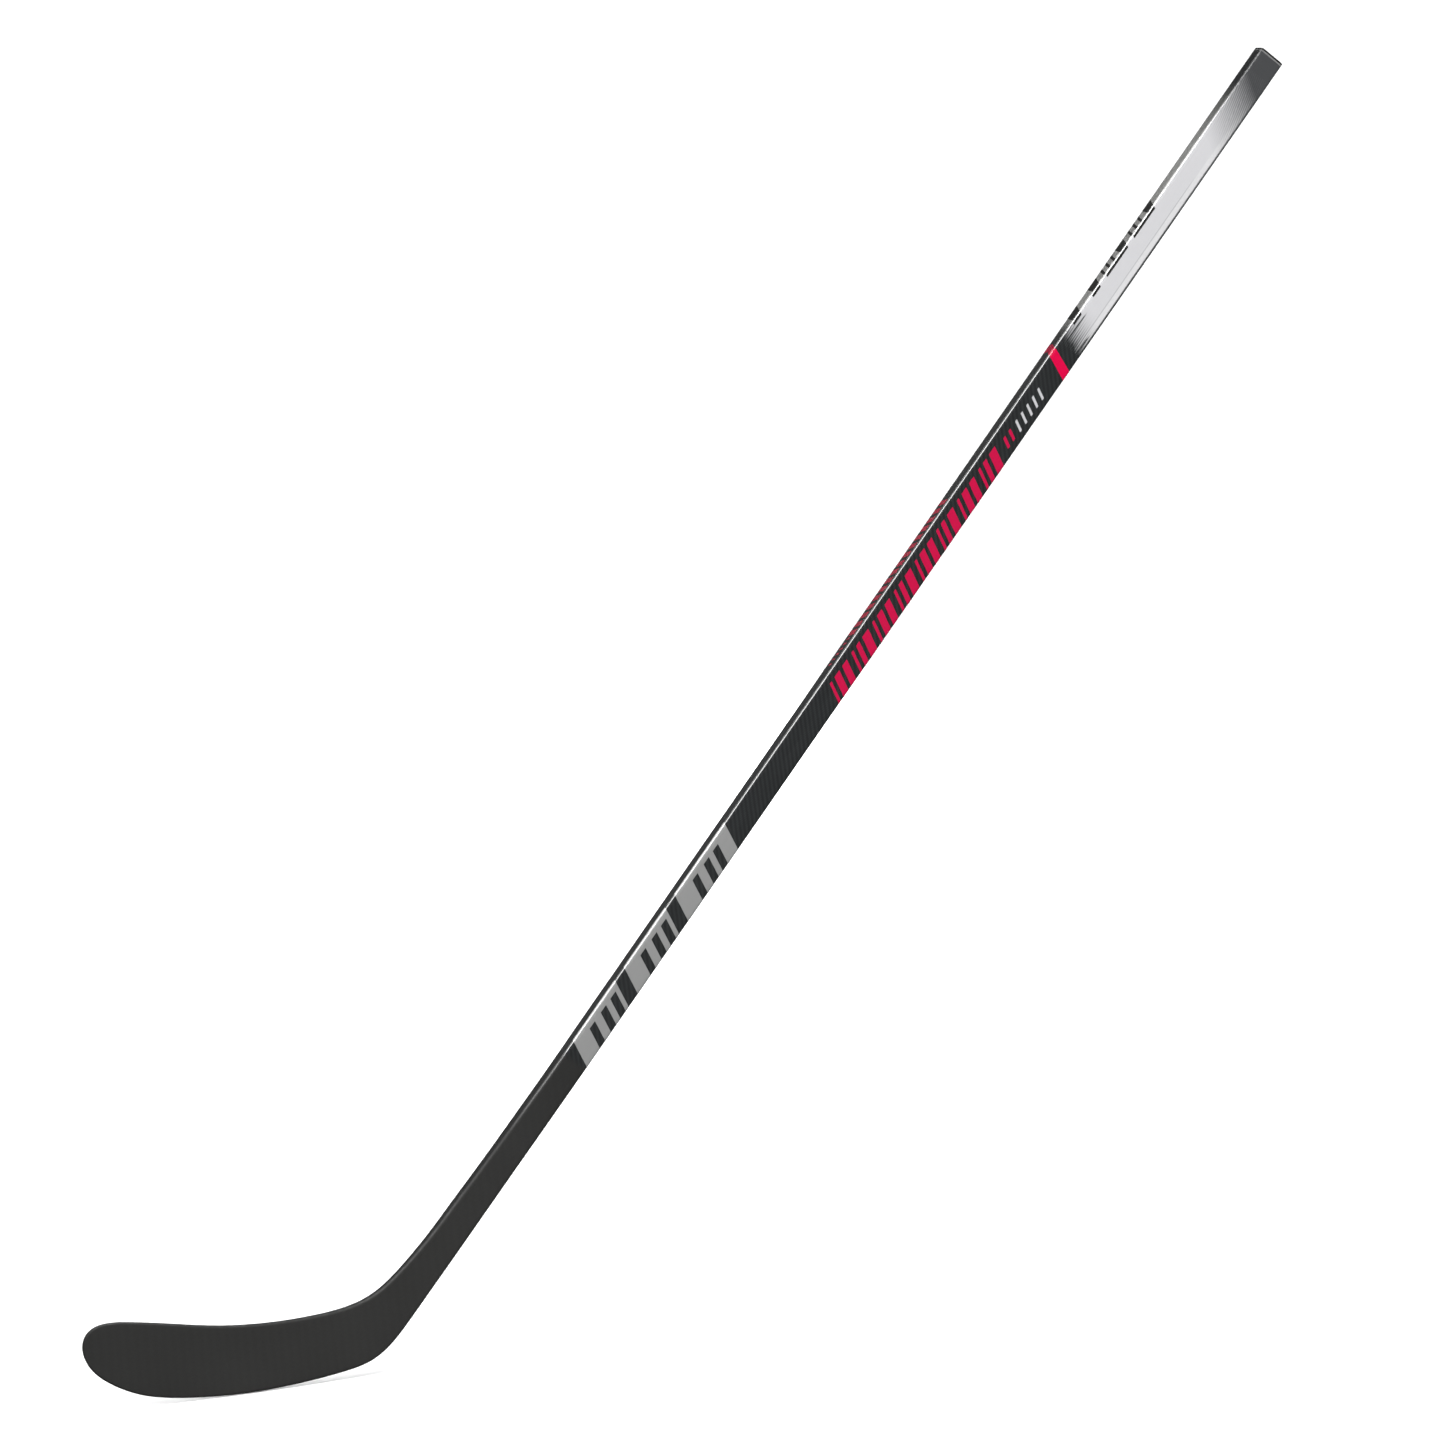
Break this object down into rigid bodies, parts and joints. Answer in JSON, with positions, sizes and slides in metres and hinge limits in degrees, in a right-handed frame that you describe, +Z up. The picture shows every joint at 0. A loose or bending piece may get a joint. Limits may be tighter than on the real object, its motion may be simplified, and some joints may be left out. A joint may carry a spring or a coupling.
{
  "type": "ice hockey stick",
  "caption": "Composite ice hockey stick: hollow rounded-rectangle shaft spliced to a curved, foam-cored blade, with printed sleeves on the shaft.",
  "frame": {"origin": "on the ice, under the middle of the stick's bounding box, with the stick in its playing position", "axes": "+Z up from the ice, -X towards the toe of the blade, +X the way the shaft leans, +Y the forehand side that the toe curves towards"},
  "size_m": [1.341, 0.0496, 1.1657],
  "materials": {
    "shaft_lacquer": "black carbon fibre weave under clear lacquer, satin to gloss",
    "blade_matte": "fine-textured matte charcoal paint over carbon fibre",
    "plug_grey": "moulded dark grey plastic with fine grain",
    "raw_carbon": "raw woven carbon fibre laminate",
    "core_foam": "closed-cell structural foam",
    "silver_print": "silver ink with a fine line gradient under clear lacquer",
    "red_print": "solid red ink under clear lacquer",
    "grey_print": "silver-grey ink under clear lacquer"
  },
  "bodies": {
    "root": {"shaft_tube": "shaft_lacquer", "butt_end_plug": "plug_grey", "hosel_tenon": "raw_carbon", "tenon_foam_core": "core_foam", "splice_overwrap": "blade_matte", "blade_skin_backhand": "blade_matte", "blade_skin_forehand": "blade_matte", "blade_core_lower": "core_foam", "blade_core_upper": "core_foam", "blade_bridge_rib": "raw_carbon", "upper_graphic_film": "silver_print", "accent_band_film": "red_print", "middle_graphic_film": "red_print", "lower_graphic_film": "grey_print"}
  },
  "joints": []
}
